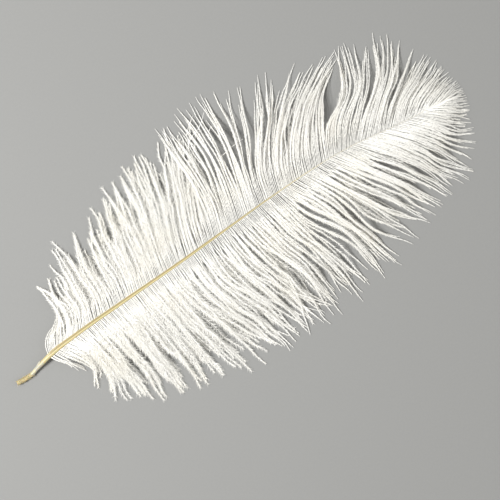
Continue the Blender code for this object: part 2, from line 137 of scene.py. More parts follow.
LOWER_STRANDS = (
    (22.5, 25, -2, 28.5, -7, 31, -12), (24.5, 27.5, -2.5, 31.5, -9, 34, -14.5),
    (27, 31, -3, 35.5, -9, 37.5, -15), (31, 37, -5, 39.5, -15, 35.7, -26),
    (35, 41, -7, 43, -22, 38, -36), (39, 43.5, -8, 46, -24, 45.5, -39.5),
    (43, 46.5, -8, 48.5, -25, 49, -42), (47, 49.5, -10, 51, -27, 52.7, -41),
    (50, 52.5, -9, 54, -28, 55.5, -46), (53.5, 56, -8, 58, -28, 57, -49.5),
    (57, 59.5, -8, 61.5, -28, 60.8, -49), (61.5, 63.5, -8, 66, -28, 66, -51),
    (65.5, 67.5, -8, 68.5, -28, 68.8, -52), (69.5, 71, -8, 71.5, -28, 73.5, -51),
    (73, 74.5, -8, 76.5, -30, 79.7, -52), (77.5, 79, -8, 82, -30, 84, -54.5),
    (81, 83, -10, 85.5, -32, 86.7, -55), (84, 86, -10, 89.5, -35, 93, -55.5),
    (86.7, 88.7, -12, 92.5, -38, 96, -55), (89.5, 91, -12, 97, -42, 101, -57),
    (92.5, 94.5, -14, 100.5, -38, 106, -62), (95, 97, -14, 103, -40, 109, -53.5),
    (97.5, 99, -12, 106.5, -31, 119, -57.5), (100.5, 102, -12, 110, -35, 120.5, -56),
    (104, 105.3, -13, 113, -35, 123.5, -58.5), (107.2, 108.7, -13, 116, -36, 124.7, -57),
    (110.5, 112, -14, 120, -38, 129, -59), (114, 115.5, -16, 124, -39, 132, -63),
    (117.3, 118.5, -15, 128, -40, 133.2, -61), (120.5, 121.5, -15, 130, -38, 135, -62),
    (123.3, 124, -12, 131.5, -36, 135.5, -57), (126, 127, -12, 133.5, -34, 139.2, -59.5),
    (129, 131, -15, 138, -40, 142.6, -61), (132, 133.5, -14, 141, -40, 146.2, -57.7),
    (134.5, 136, -14, 143, -38, 147.6, -62), (137, 139, -14, 144.5, -38, 151, -60.3),
    (139.7, 143.5, -14, 150, -35, 154, -64), (142.5, 146, -10, 154, -33, 156, -64),
    (145, 149, -12, 157.5, -40, 157.6, -61.3), (147.7, 151.5, -12, 157, -36, 161.4, -58),
    (150, 154, -12, 160, -36, 161.4, -55), (152.3, 156, -14, 163, -34, 165.6, -55.3),
    (154.5, 158, -14, 164.5, -35, 168.9, -52), (156.3, 160, -14, 166, -33, 171.4, -59),
    (157.8, 162, -12, 170, -34, 173.1, -63.7), (159.2, 163.3, -12, 172.5, -38, 174.6, -58.4),
    (160.6, 165, -12, 173, -36, 176.9, -56.6), (161.8, 166.3, -12, 174, -37, 178.6, -59.4),
    (162.9, 167.5, -12, 175, -37, 180.8, -55.8), (163.9, 168.5, -12, 174.5, -34, 184, -55.2),
    (164.8, 169.2, -11, 175, -24, 183, -49), (165.6, 170.3, -11.5, 178, -30, 185.3, -57.5),
    (166.4, 171.3, -12, 179, -28, 186.2, -51.2), (167.2, 172.5, -13, 183, -30, 188.8, -54.3),
    (168, 174, -13.5, 185, -32, 191.5, -54), (169, 175.2, -9, 187.5, -27.5, 194, -59.5),
    (171.5, 179, -8, 190.5, -30, 195.5, -54.2), (174, 182, -8, 193, -32, 200.6, -55.5),
    (176.3, 184.5, -9, 194.5, -36, 203.7, -57.8), (178.5, 187, -8.5, 196, -33, 202, -52.2),
    (181, 190, -9, 197.5, -36, 206.2, -52.8), (183, 192, -8, 200, -33, 214.5, -52),
    (185, 194, -8, 203, -31, 215.9, -49.3), (187, 196, -7, 206, -26, 217.6, -51.7),
    (189, 197.5, -8, 209, -28, 224.3, -50), (190.7, 198.7, -9, 211.5, -32.5, 223.5, -46.4),
    (193, 202, -9, 214.5, -27, 225.2, -47), (195.3, 205, -9, 218.5, -29, 227.4, -45.8),
    (197.6, 207.5, -8, 220, -27, 230.7, -47), (200, 210, -7, 222.5, -26, 231.5, -43.5),
    (202.8, 213, -7, 225.5, -26, 233.7, -42.8), (205.5, 215, -8, 227, -26, 237.3, -44.2),
    (209, 218.5, -7.5, 229.8, -22.5, 241, -42), (212.5, 222.3, -6.8, 233.6, -21.3, 245.4, -41.9),
    (215.7, 226, -5, 238, -22, 245, -38.3), (218.3, 228, -5, 240, -22, 247, -38.6),
    (221, 231, -4.5, 243, -24, 253.5, -40.5), (223.5, 233.5, -5, 245.5, -25, 256.3, -41),
    (225.8, 236, -5, 249, -27, 259.5, -39.3), (228, 238, -5, 251, -27, 260.9, -38.2),
    (230.2, 240, -6, 250.5, -20, 257.6, -33.3), (232.5, 243, -7, 253.5, -22, 261.5, -35),
    (235, 245.5, -7, 255, -20, 263, -32.8), (238, 248, -7, 258.5, -20, 266.8, -28.7),
    (241, 251, -7.5, 261, -20.5, 269.3, -27), (245, 254.5, -7, 263, -17, 271.3, -22.2),
    (248, 257, -7, 265.5, -16, 272.5, -20), (251, 259.5, -6, 267, -13, 272.8, -17.3),
    (254, 262, -4.5, 269.5, -10.5, 274.4, -14.2), (256, 264, -4, 271, -9, 276.2, -11.4),
    (258, 266, -3.2, 272.2, -7.8, 276.2, -10), (259.8, 267, -2.6, 272.8, -6.6, 277.2, -8.6),
    (261.5, 268.2, -2, 273.5, -5.4, 277.8, -7.2), (263, 269.2, -1.4, 274.2, -4, 277.9, -5.9),
    (264.5, 270.3, -0.9, 275, -2.9, 278.3, -4.4), (266, 271.5, -0.5, 275.5, -1.8, 278.9, -3.1),
    (267.5, 273, -0.2, 277, -0.9, 279, -1.4),
)

# How barbs gather in strands: rows of x and what holds there, which changes evenly between.
#   closes   the share of its way at which a barb starts to close up with its strand
#   closing  the further share over which it does
#   gap      how far apart they then lie
#   down     how far a barb is from sleek, at 0, to thick down, at 1
#   under    the share of barbs that lie under the strands, each by itself
#   loose    the share of the others that part from their strand again
#   stray    how far a strand strays from its measured way, in degrees
#   lift     how far strands are raised over their neighbours, or pressed under them
#   uneven   how unevenly strands lie over each other, as a share of the usual
#   band     how many barbs close up together
#   reach    the least share of its way that a barb in a strand reaches
# At its partings, places along x, a vane is parted down to its roots.
UPPER_LAWS = {
    "partings": (31.5, 32.4, 199.9, 212.2, 216.7, 231.4, 249.7),
    "closes": (
        (90, 0.4), (115, 0.2), (135, 0.15), (190, 0.15), (205, 0.22), (222, 0.4), (238, 0.45),
        (256, 0.6), (280, 0.66),
    ),
    "closing": ((22, 0.24),),
    "gap": ((22, 0.7), (100, 0.65), (128, 0.4), (165, 0.4), (180, 0.5)),
    "down": (
        (22, 0.5), (38, 0.9), (95, 1.0), (115, 0.75), (124, 0.55), (132, 0.15), (170, 0.25),
        (235, 0.18), (252, 0.42), (280, 0.5),
    ),
    "under": (
        (22, 0.25), (36, 0.5), (72, 0.5), (90, 0.25), (115, 0.4), (128, 0.12), (155, 0.12),
        (165, 0.2), (180, 0.3), (280, 0.25),
    ),
    "loose": ((22, 0.05), (45, 0.2), (95, 0.3), (120, 0.35), (132, 0.05), (280, 0.06)),
    "stray": ((22, 0.6), (45, 1.5), (120, 2.0), (132, 0.4), (280, 0.5)),
    "lift": ((105, 0.0), (112, -1.2), (126, -1.4), (127, 1.6), (134, 1.5), (137, 0.3), (142, 0.0)),
    "uneven": ((22, 0.5), (85, 0.6), (110, 1.0)),
    "band": (
        (22, 4.0), (40, 4.5), (75, 4.5), (95, 4.2), (115, 3.6), (128, 2.7), (165, 2.8), (280, 3.1),
    ),
    "reach": ((22, 0.84), (36, 0.66), (74, 0.7), (92, 0.84)),
}
LOWER_LAWS = {
    "partings": (33.0, 45.0, 51.8, 59.3, 67.5, 82.5, 188.0, 210.7),
    "closes": (
        (22, 0.3), (35, 0.36), (80, 0.34), (98, 0.12), (106, 0.05), (192, 0.05), (205, 0.15),
        (230, 0.33), (240, 0.4), (256, 0.55), (280, 0.62),
    ),
    "closing": ((95, 0.24), (106, 0.08), (192, 0.08), (210, 0.2), (280, 0.24)),
    "gap": ((22, 0.5), (90, 0.48), (120, 0.45)),
    "down": (
        (22, 0.4), (33, 1.0), (95, 1.0), (112, 0.7), (135, 0.55), (185, 0.42), (230, 0.22),
        (252, 0.42), (280, 0.5),
    ),
    "under": ((22, 0.25), (34, 0.15), (80, 0.15), (105, 0.4), (190, 0.35), (230, 0.3), (280, 0.25)),
    "loose": ((22, 0.05), (45, 0.2), (95, 0.38), (160, 0.35), (190, 0.12), (280, 0.06)),
    "stray": ((22, 0.6), (42, 2.2), (90, 2.4), (130, 2.0), (190, 1.0), (280, 0.5)),
    "lift": ((22, 0.0),),
    "uneven": ((22, 0.5), (85, 0.6), (105, 1.1), (190, 1.0), (210, 0.7)),
    "band": ((22, 4.0), (35, 4.5), (90, 4.5), (106, 3.2), (190, 3.3), (280, 3.1)),
    "reach": ((22, 0.84), (36, 0.7), (85, 0.72), (100, 0.84)),
}

# The frame's origin is on the table under the middle of the feather's reach.
MIDDLE = np.array((140.0, (74.5 - 64.0) / 2, 0.0))

# A lock's height, as in the solid: up from the shaft to a crest by a share of its length, then
# down to the table. Each AT, and each outer place's first number, is a share of its length.
CREST_AT, CREST_RISE = 0.3, 0.045
MIDDLE_AT, MIDDLE_SHARE = 0.62, 0.72
OUTER_PLACES = ((0.88, 1.35), (1.0, 0.7))

# Single barbs that lie across the others: the way from start to end, over x and y.
CROSSING_BARBS = (
    ((145, 59.5), (149.5, 63.3), (153.4, 66.2)), ((151.5, 58.5), (156, 61.5), (159.3, 64.6)),
    ((145.5, 56.5), (148.5, 57.8), (153, 57)), ((155.5, 54.5), (157.3, 55.6), (159.2, 56.2)),
    ((154.5, 40.4), (162.5, 41.5), (168.7, 41.7)), ((147, -48.5), (151, -53), (153.8, -55.7)),
    ((146, -38.5), (152.5, -46.5), (160, -56.5)),
)

UP = np.array((0.0, 0.0, 1.0))


def linear(hex_colour):
    """The linear red, green and blue of an sRGB hex colour."""
    parts = [int(hex_colour[i : i + 2], 16) / 255 for i in (1, 3, 5)]
    return [c / 12.92 if c <= 0.04045 else ((c + 0.055) / 1.055) ** 2.4 for c in parts]


def colour_property(name, description, hex_colour):
    """A colour that a user may pick, given as sRGB hex."""
    start = linear(hex_colour)
    return FloatVectorProperty(
        name=name, description=description, subtype="COLOR", size=3, min=0.0, max=1.0, default=start
    )


def size_property(name, description, millimetres):
    """A length that a user may change, given in millimetres and kept in metres."""
    start = millimetres * MM
    return FloatProperty(
        name=name, description=description, unit="LENGTH", precision=5, min=0.00001, default=start
    )


class PlumeSizes(bpy.types.PropertyGroup):
    """What barbs and their barbules measure."""

    barb_spacing: size_property("Barb spacing", "Between barbs along the shaft", 0.68)
    barb_root: size_property("Barb root", "Thickness of a barb's own shaft at its root", 0.46)
    barb_end: size_property("Barb end", "Thickness of a barb's own shaft near its end", 0.18)
    barbule_spacing: size_property("Barbule spacing", "Between barbules on one side", 0.4)
    barbule_root: size_property("Barbule root", "Thickness of a barbule at its root", 0.22)
    sleek_barbule: size_property("Sleek barbule", "Length of barbules in sleek strands", 0.85)
    downy_barbule: size_property("Downy barbule", "Length of barbules in thick down", 2.9)


class PlumeArrangement(bpy.types.PropertyGroup):
    """How the barbs happen to lie."""

    seed: IntProperty(name="Seed", description="Picks another arrangement", min=0, default=11)


class PlumeColours(bpy.types.PropertyGroup):
    """Colours of the plume and the floor."""

    white: colour_property("White", "Bleached barbs", "#F6F5F1")
    cream: colour_property("Cream", "Barbs near the quill and in thick places", "#F6EED8")
    gold: colour_property("Gold", "Flanks of the shaft", "#B5A471")
    brown: colour_property("Brown", "Groove of the shaft", "#7C6C45")
    straw: colour_property("Straw", "Top of the shaft", "#D6C996")
    ivory: colour_property("Ivory", "The scraped quill", "#BDB8A6")
    tan: colour_property("Tan", "The quill's matted end", "#BCAC7E")
    floor: colour_property("Floor", "Matte pale grey board", "#90908E")


def sizes_in_millimetres(context):
    """The user's sizes, each by its name, in millimetres."""
    sizes = context.scene.plume_sizes
    return {name: getattr(sizes, name) / MM for name in sizes.__annotations__}


def random_numbers(context, stream):
    """A seeded source of random numbers, with a stream of its own for each piece."""
    return np.random.default_rng(context.scene.plume_arrangement.seed + stream)


def at(knots, x):
    """The value at x of the straight runs through knots, a row of (x, value) pairs."""
    return np.interp(x, *zip(*knots))


def smooth_step(x, start, end):
    """0 before start and 1 after end, with a smooth rise between."""
    s = np.clip((x - start) / (end - start), 0, 1)
    return s * s * (3 - 2 * s)


def unit(vectors):
    """Vectors of length one along the last axis."""
    return vectors / np.maximum(np.linalg.norm(vectors, axis=-1, keepdims=True), 1e-9)


def smooth_curve(points, steps=24):
    """A fine row of points on the smooth curve through the given ones."""
    points = np.asarray(points, dtype=float)
    gaps = np.linalg.norm(np.diff(points, axis=0), axis=1)[:, None]
    slopes = np.diff(points, axis=0) / gaps
    turns = (slopes[:-1] * gaps[1:] + slopes[1:] * gaps[:-1]) / (gaps[:-1] + gaps[1:])
    tangents = np.vstack([slopes[:1], turns, slopes[-1:]])
    s = np.linspace(0, 1, steps, endpoint=False)[None, :, None]
    curve = (
        points[:-1, None] * (1 + 2 * s) * (1 - s) ** 2
        + (tangents[:-1] * gaps)[:, None] * s * (1 - s) ** 2
        + points[1:, None] * s * s * (3 - 2 * s)
        + (tangents[1:] * gaps)[:, None] * s * s * (s - 1)
    )
    return np.vstack([curve.reshape(-1, points.shape[1]), points[-1:]])


def lengths_along(curve):
    """How far along a row of points each one is."""
    steps = np.linalg.norm(np.diff(curve, axis=0), axis=1)
    return np.concatenate([[0.0], np.cumsum(steps)])


def points_along(curve, distances):
    """The points of a curve at the given distances along it."""
    marks = lengths_along(curve)
    columns = [np.interp(distances, marks, column) for column in curve.T]
    return np.stack(columns, axis=-1)


SHAFT_CURVE = smooth_curve(SHAFT[:, :3])
SHAFT_LENGTH = lengths_along(SHAFT_CURVE)[-1]


def shaft_point(x):
    """The shaft's centre at x."""
    xs, ys, zs = SHAFT_CURVE.T
    return np.array((x, np.interp(x, xs, ys), np.interp(x, xs, zs)))


def shaft_radius(x):
    """Half the shaft's thickness at x."""
    return np.interp(x, SHAFT[:, 0], SHAFT[:, 3]) / 2


def from_table(points):
    """Millimetres on the table to metres in the frame."""
    return (np.asarray(points) - MIDDLE) * MM


# Materials


def fill_in(node, settings, links):
    """Gives a node its settings, by attribute or input, and links other outputs to its inputs."""
    for name, value in settings.items():
        if isinstance(name, str) and hasattr(node, name):
            setattr(node, name, value)
        else:
            node.inputs[name].default_value = value
    for name, output in links.items():
        node.id_data.links.new(output, node.inputs[name])


def add_node(tree, kind, settings, links, out=0):
    """Adds a shader node with its settings and links, and gives one of its outputs."""
    node = tree.nodes.new("ShaderNode" + kind)
    fill_in(node, settings, links)
    return node.outputs[out]


def new_material(name):
    """A node material, add_node for its tree, its Object coordinates and its shader."""
    material = bpy.data.materials.new(name)
    material.use_nodes = True
    add = partial(add_node, material.node_tree)
    shader = material.node_tree.nodes["Principled BSDF"]
    return material, add, add("TexCoord", {}, {}, out="Object"), shader


def opaque(colour, share=1.0):
    """A colour at a share of its brightness, with full alpha, as a socket takes it."""
    return (*[part * share for part in colour], 1.0)


def place_x(millimetres):
    """x on the table in millimetres, as Object coordinates give it."""
    return (millimetres - MIDDLE[0]) * MM


# Sockets of a Mix node that mixes colours, and of a Map Range node.
MIX_FACTOR, MIX_A, MIX_B, MIX_OUT = 0, 6, 7, 2
VALUE, FROM, UNTIL, LOW, HIGH = range(5)
SMOOTH = {"interpolation_type": "SMOOTHSTEP"}
COLOURS = {"data_type": "RGBA"}
KERATIN_IOR = 1.54
BARB_MATERIAL = "white_down_barbs"


def barb_material(colours):
    """Bleached down: keratin threads so fine that they scatter all light, matt and white.

    They are faintly cream, most of all near the quill and in soft patches of some 20 mm. A faint
    painted shade between threads, a darker white, is drawn coarser than the gaps are, so it shows.
    """
    material, add, place, shader = new_material(BARB_MATERIAL)
    x = add("SeparateXYZ", {}, {0: place})
    patches = add("TexNoise", {"Scale": 1 / (22 * MM), "Detail": 2.0}, {"Vector": place})
    threads = add("TexNoise", {"Scale": 1 / (1.6 * MM), "Detail": 1.0}, {"Vector": place})
    along = {FROM: place_x(22), UNTIL: place_x(120), LOW: 0.32, HIGH: 0.27}
    near_quill = add("MapRange", SMOOTH | along, {VALUE: x})
    spread = {FROM: 0.4, UNTIL: 0.75, LOW: 0.4, HIGH: 1.0}
    patchy = add("MapRange", SMOOTH | spread, {VALUE: patches})
    amount = add("Math", {"operation": "MULTIPLY"}, {0: near_quill, 1: patchy})
    both = {MIX_A: opaque(colours.white), MIX_B: opaque(colours.cream)}
    tinted = add("Mix", COLOURS | both, {MIX_FACTOR: amount}, out=MIX_OUT)
    # Painted shade between threads: where the fine noise is high, the white is mixed a little
    # towards a darker white.
    faint = {FROM: 0.35, UNTIL: 0.7, LOW: 0.0, HIGH: 0.12}
    painted_shade = add("MapRange", SMOOTH | faint, {VALUE: threads})
    shade_tint = COLOURS | {MIX_B: opaque(colours.white, 0.85)}
    colour = add("Mix", shade_tint, {MIX_FACTOR: painted_shade, MIX_A: tinted}, out=MIX_OUT)
    rough = add("MapRange", {FROM: 0.3, UNTIL: 0.7, LOW: 0.55, HIGH: 0.75}, {VALUE: threads})
    finish = {"IOR": KERATIN_IOR, "Sheen Weight": 0.2, "Sheen Roughness": 0.5}
    fill_in(shader, finish, {"Base Color": colour, "Roughness": rough})
    return material


def shaft_material(colours):
    """Horn-like keratin, grown smooth: half-gloss, with a fine grain along it.

    Straw on top, darker along its flanks and its groove, fading to ivory towards the plume's
    end. The bare quill is ivory where it was scraped, and tan and matted at its cut. The grain
    is drawn coarser than it is, so that it shows.
    """
    material, add, place, shader = new_material("quill_keratin")
    x = add("SeparateXYZ", {}, {0: place})
    across = add("Attribute", {"attribute_name": "across"}, {}, out="Fac")
    lengthwise = add("Mapping", {"Scale": (0.05, 1.0, 1.0)}, {"Vector": place})
    grain = add("TexNoise", {"Scale": 1 / (0.35 * MM), "Detail": 3.0}, {"Vector": lengthwise})
    spots = add("TexNoise", {"Scale": 1 / (1.3 * MM), "Detail": 4.0}, {"Vector": place})
    from_groove = add("Math", {"operation": "SUBTRACT", 1: 0.35}, {0: across})
    off_groove = add("Math", {"operation": "ABSOLUTE"}, {0: from_groove})
    ragged = add("Math", {"operation": "MULTIPLY_ADD", 1: 7 * MM}, {0: spots, 2: x})
    bare = add("MapRange", {FROM: place_x(22), UNTIL: place_x(19)}, {VALUE: x})
    stains = add("Math", {"operation": "MULTIPLY"}, {0: bare, 1: spots})
    matted = add("MapRange", {FROM: place_x(13), UNTIL: place_x(12)}, {VALUE: ragged})
    scabs = add("Math", {"operation": "MULTIPLY"}, {0: matted, 1: spots})
    gold, straw, ivory = opaque(colours.gold), opaque(colours.straw), opaque(colours.ivory)
    both = {MIX_A: straw, MIX_B: gold}
    colour = add("Mix", COLOURS | both, {MIX_FACTOR: grain}, out=MIX_OUT)
    # Each layer's colour rises, to its last share, where a value goes from one limit to the other.
    layers = (
        (across, 0.1, -0.1, 0.8, straw),
        (across, -0.6, -0.9, 0.8, gold),
        (across, 0.6, 0.9, 0.8, gold),
        (off_groove, 0.5, 0.25, 0.6, opaque(colours.brown)),
        (x, place_x(25), place_x(20.5), 1.0, opaque(colours.straw, 0.85)),
        (x, place_x(100), place_x(235), 0.6, ivory),
        (ragged, place_x(21.4), place_x(20.2), 1.0, ivory),
        (stains, 0.52, 0.62, 0.75, straw),
        (matted, 0.0, 1.0, 1.0, opaque(colours.tan)),
        (scabs, 0.45, 0.65, 0.8, opaque(colours.tan, 0.6)),
    )
    for value, start, until, share, tint in layers:
        rise = {FROM: start, UNTIL: until, LOW: 0.0, HIGH: share}
        amount = add("MapRange", SMOOTH | rise, {VALUE: value})
        mixed = {MIX_FACTOR: amount, MIX_A: colour}
        colour = add("Mix", COLOURS | {MIX_B: tint}, mixed, out=MIX_OUT)
    rough = add("MapRange", {LOW: 0.4, HIGH: 0.85}, {VALUE: matted})
    bump = add("Bump", {"Strength": 0.35, "Distance": 0.06 * MM}, {"Height": grain})
    finish = {"IOR": KERATIN_IOR, "Subsurface Weight": 0.12, "Subsurface Scale": 0.6 * MM}
    fill_in(shader, finish, {"Base Color": colour, "Roughness": rough, "Normal": bump})
    return material


def fray_material(colours):
    """Dried skin rubbed up from the quill: tan at its end, ivory further up, dull and rough."""
    material, add, place, shader = new_material("dried_skin_fibres")
    x = add("SeparateXYZ", {}, {0: place})
    spots = add("TexNoise", {"Scale": 1 / (1.5 * MM), "Detail": 2.0}, {"Vector": place})
    scraped = add("MapRange", {FROM: place_x(11), UNTIL: place_x(13)}, {VALUE: x})
    pale = add("Math", {"operation": "MAXIMUM"}, {0: spots, 1: scraped})
    both = {MIX_A: opaque(colours.tan), MIX_B: opaque(colours.ivory)}
    colour = add("Mix", COLOURS | both, {MIX_FACTOR: pale}, out=MIX_OUT)
    fill_in(shader, {"Roughness": 0.85}, {"Base Color": colour})
    return material


def floor_material(colours):
    """Painted board: matte, with a faint roller stipple."""
    material, add, place, shader = new_material("pale_painted_board")
    stipple = add("TexNoise", {"Scale": 1 / (1.2 * MM), "Detail": 2.0}, {"Vector": place})
    both = {MIX_A: opaque(colours.floor, 0.97), MIX_B: opaque(colours.floor, 1.03)}
    colour = add("Mix", COLOURS | both, {MIX_FACTOR: stipple}, out=MIX_OUT)
    bump = add("Bump", {"Strength": 0.1, "Distance": 0.2 * MM}, {"Height": stipple})
    fill_in(shader, {"Roughness": 0.75}, {"Base Color": colour, "Normal": bump})
    return material


# Mesh helpers


def new_object(name, data):
    """An object in the scene for some data."""
    made = bpy.data.objects.new(name, data)
    bpy.context.scene.collection.objects.link(made)
    return made


def new_piece(name, mesh, material):
    """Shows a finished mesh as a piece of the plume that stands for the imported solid."""
    mesh.materials.append(material)
    piece = new_object(name, mesh)
    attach(piece, BODY)
    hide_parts(NODE)


# The least height of any corner over the table, and the corners of a strand's section.
LEAST_HEIGHT = 0.02
SECTION = np.radians((30.0, 150.0, 270.0))


def strand_arrays(points, radii):
    """Corners and triangles of closed three-sided strands that end in their last, sharp place.

    points holds strands x places x 3, and radii holds strands x places.
    """
    count, places, _ = points.shape
    tip = (places - 1) * 3
    tangents = unit(np.gradient(points, axis=1))
    sides = unit(np.cross(tangents, UP))
    tops = np.cross(sides, tangents)
    out, up = np.cos(SECTION)[:, None], np.sin(SECTION)[:, None]
    around = out * sides[:, :-1, None] + up * tops[:, :-1, None]
    rings = points[:, :-1, None] + radii[:, :-1, None, None] * around
    corners = np.concatenate([rings.reshape(count, tip, 3), points[:, -1:]], axis=1)
    pattern = [(0, 1, 2)]
    for first in range(0, tip, 3):
        for here, there in ((first, first + 1), (first + 1, first + 2), (first + 2, first)):
            if first + 3 < tip:
                pattern += [(here, there + 3, there), (here, here + 3, there + 3)]
            else:
                pattern += [(here, tip, there)]
    starts = np.arange(count)[:, None, None] * (tip + 1)
    return corners.reshape(-1, 3), (np.array(pattern)[None] + starts).reshape(-1, 3)


def strands_mesh(name, groups):
    """One mesh of several groups of strands, each a pair of points and radii."""
    made = [strand_arrays(points, radii) for points, radii in groups]
    firsts = np.cumsum([0, *(len(corners) for corners, _ in made)])
    triangles = [some + first for (_, some), first in zip(made, firsts)]
    corners = np.concatenate([some for some, _ in made])
    corners[:, 2] = np.maximum(corners[:, 2], LEAST_HEIGHT)
    mesh = bpy.data.meshes.new(name)
    mesh.from_pydata(from_table(corners), [], np.concatenate(triangles))
    return mesh


# The quill and its shaft

SHAFT_SIDES, SHAFT_RINGS = 24, 170
# Above 1, this sets the shaft's rings closer together at the bent quill end.
SHAFT_RING_BIAS = 1.35
# The groove along the shaft, in shares of the shaft's radius, and from where to where it starts.
GROOVE_MIDDLE, GROOVE_HALF_WIDTH, GROOVE_DEPTH = 0.34, 0.3, 0.45
GROOVE_FROM = (20.5, 26.0)
# The wall and the depth of the hollow at the cut, and how far the quill is lumpy.
CUT_WALL, CUT_DEPTH = 0.3, 1.2
LUMPS_UNTIL = 19.0
# Its large and small lumps: how many per millimetre along and across it, and how high they are.
QUILL_LUMPS = ((0.6, 1.2, 0.6), (2.6, 3.0, 0.25))


def ring_frame(centre, heading, radius):
    """Takes a flat outline, drawn in x and y, to a ring across the shaft, with y up."""
    side = heading.cross(Vector(UP)).normalized()
    top = side.cross(heading)
    turn = Matrix((side * radius, top * radius, heading * radius)).transposed()
    return Matrix.Translation(centre) @ turn.to_4x4()


def grooved_face(bm):
    """A round face with a groove in its top, the section of the shaft."""
    made = bmesh.ops.create_circle(bm, cap_ends=True, radius=1.0, segments=SHAFT_SIDES)
    for vertex in made["verts"]:
        off = (vertex.co.x + GROOVE_MIDDLE) / GROOVE_HALF_WIDTH
        if vertex.co.y > 0 and abs(off) < 1:
            vertex.co.y -= GROOVE_DEPTH * (1 - off * off)
    return bm.faces[:][0]


def roughen_quill(bm):
    """Makes the bare quill round, and gives its end dried, matted lumps that fade out."""
    for vertex in bm.verts:
        x, y, z = vertex.co
        out = vertex.co - Vector(shaft_point(x))
        out.x = 0
        lumps = sum(
            noise.noise(Vector((x * along, y * across, z * across))) * height
            for along, across, height in QUILL_LUMPS
        )
        vertex.co += out.normalized() * lumps * max(0.0, 1 - x / LUMPS_UNTIL)
        if x > CUT_DEPTH + 1:
            missing = shaft_radius(x) - out.length
            vertex.co += out.normalized() * missing * (1 - smooth_step(x, *GROOVE_FROM))


def mark_across(bm):
    """Stores on each corner how far across the shaft it is, from -1 to 1."""
    layer = bm.verts.layers.float.new("across")
    for vertex in bm.verts:
        offset = vertex.co.y - shaft_point(vertex.co.x)[1]
        vertex[layer] = max(-1.0, min(1.0, offset / shaft_radius(vertex.co.x)))


class PLUME_OT_shaft(bpy.types.Operator):
    """Draws the grooved section out along the shaft, and hollows the quill's cut end"""

    bl_idname = "plume.shaft"
    bl_label = "Quill and shaft"

    def execute(self, context):
        steps = (np.arange(SHAFT_RINGS) / (SHAFT_RINGS - 1)) ** SHAFT_RING_BIAS
        centres = points_along(SHAFT_CURVE, steps * SHAFT_LENGTH)
        headings = unit(np.gradient(centres, axis=0))
        frames = [
            ring_frame(Vector(centre), Vector(heading), shaft_radius(centre[0]))
            for centre, heading in zip(centres, headings)
        ]
        bm = bmesh.new()
        base = end = grooved_face(bm)
        bmesh.ops.transform(bm, matrix=frames[0], verts=bm.verts)
        for before, after in zip(frames, frames[1:]):
            grown = bmesh.ops.extrude_face_region(bm, geom=[end])["geom"]
            if end is not base:
                bmesh.ops.delete(bm, geom=[end], context="FACES_ONLY")
            end = next(piece for piece in grown if isinstance(piece, bmesh.types.BMFace))
            bmesh.ops.transform(bm, matrix=after @ before.inverted(), verts=list(end.verts))
        bmesh.ops.inset_individual(bm, faces=[base], thickness=CUT_WALL)
        hollow = bmesh.ops.extrude_discrete_faces(bm, faces=[base])["faces"][0]
        bmesh.ops.translate(bm, vec=(CUT_DEPTH, 0, 0), verts=list(hollow.verts))
        bmesh.ops.recalc_face_normals(bm, faces=bm.faces)
        roughen_quill(bm)
        mark_across(bm)
        for vertex in bm.verts:
            vertex.co.z = max(vertex.co.z, LEAST_HEIGHT)
            vertex.co = from_table(vertex.co)
        mesh = bpy.data.meshes.new("quill_and_shaft")
        bm.to_mesh(mesh)
        bm.free()
        mesh.shade_smooth()
        new_piece("quill_and_shaft", mesh, shaft_material(context.scene.plume_colours))
        return {"FINISHED"}


# How many fibres are rubbed up, from where to where along the quill, and their radius.
FRAY_COUNT, FRAY_STRETCH, FRAY_RADIUS = 130, (0.2, 10.0), 0.08
# How far out they root, as a share of the quill's radius, how long they are, and how far they
# droop or rise at their ends.
FRAY_ROOT, FRAY_LENGTH, FRAY_DROOP = 0.8, (0.8, 2.0), (-0.3, 0.25)
# Where they point: outwards from the least to the most, and along and aside by a middle value
# and how much it varies.
FRAY_OUT, FRAY_ALONG, FRAY_ASIDE = (0.2, 0.8), (0.2, 1.2), (0, 0.7)
# A flake of the quill's sheath that stands up: its middle line, and its half width there.
FLAKE = ((13.4, 1.7, 3.2), (15.0, 2.3, 3.7), (16.2, 2.75, 4.0), (16.9, 3.1, 4.1))
FLAKE_RADII = (0.2, 0.5, 0.6, 0.1)


class PLUME_OT_frays(bpy.types.Operator):
    """Rubs up dried skin fibres round the quill's cut end, and a flake of its sheath"""

    bl_idname = "plume.frays"
    bl_label = "Quill frays"

    def execute(self, context):
        chance = random_numbers(context, 1)
        x = chance.uniform(*FRAY_STRETCH, FRAY_COUNT)
        turn = chance.uniform(0, 2 * math.pi, FRAY_COUNT)
        out = np.stack([np.zeros(FRAY_COUNT), np.cos(turn), np.sin(turn)], axis=1)
        middle = np.array([shaft_point(value) for value in x])
        root = middle + out * shaft_radius(x)[:, None] * FRAY_ROOT
        along = np.array((1.0, 0.0, 0.0)) * chance.normal(*FRAY_ALONG, FRAY_COUNT)[:, None]
        aside = np.cross(out, (1.0, 0.0, 0.0)) * chance.normal(*FRAY_ASIDE, FRAY_COUNT)[:, None]
        way = unit(out * chance.uniform(*FRAY_OUT, FRAY_COUNT)[:, None] + along + aside)
        length = chance.uniform(*FRAY_LENGTH, FRAY_COUNT)[:, None]
        droop = out * chance.uniform(*FRAY_DROOP, FRAY_COUNT)[:, None]
        points = np.stack([root, root + way * length / 2, root + way * length + droop], axis=1)
        fibres = (points, np.full(points.shape[:2], FRAY_RADIUS))
        flake = (np.array([FLAKE]), np.array([FLAKE_RADII]))
        mesh = strands_mesh("quill_frays", [fibres, flake])
        new_piece("quill_frays", mesh, fray_material(context.scene.plume_colours))
        return {"FINISHED"}


# Barbs and barbules

# Places along a path that is worked out, and along a finished barb's own shaft.
PATH_PLACES, BARB_PLACES = 60, 18
ALONG = np.linspace(0, 1, PATH_PLACES)

# Over what share of a barb's way a parting opens, and loose barbs leave their strand.
PARTS, PARTS_AGAIN = (0.15, 0.45), (0.15, 0.4)
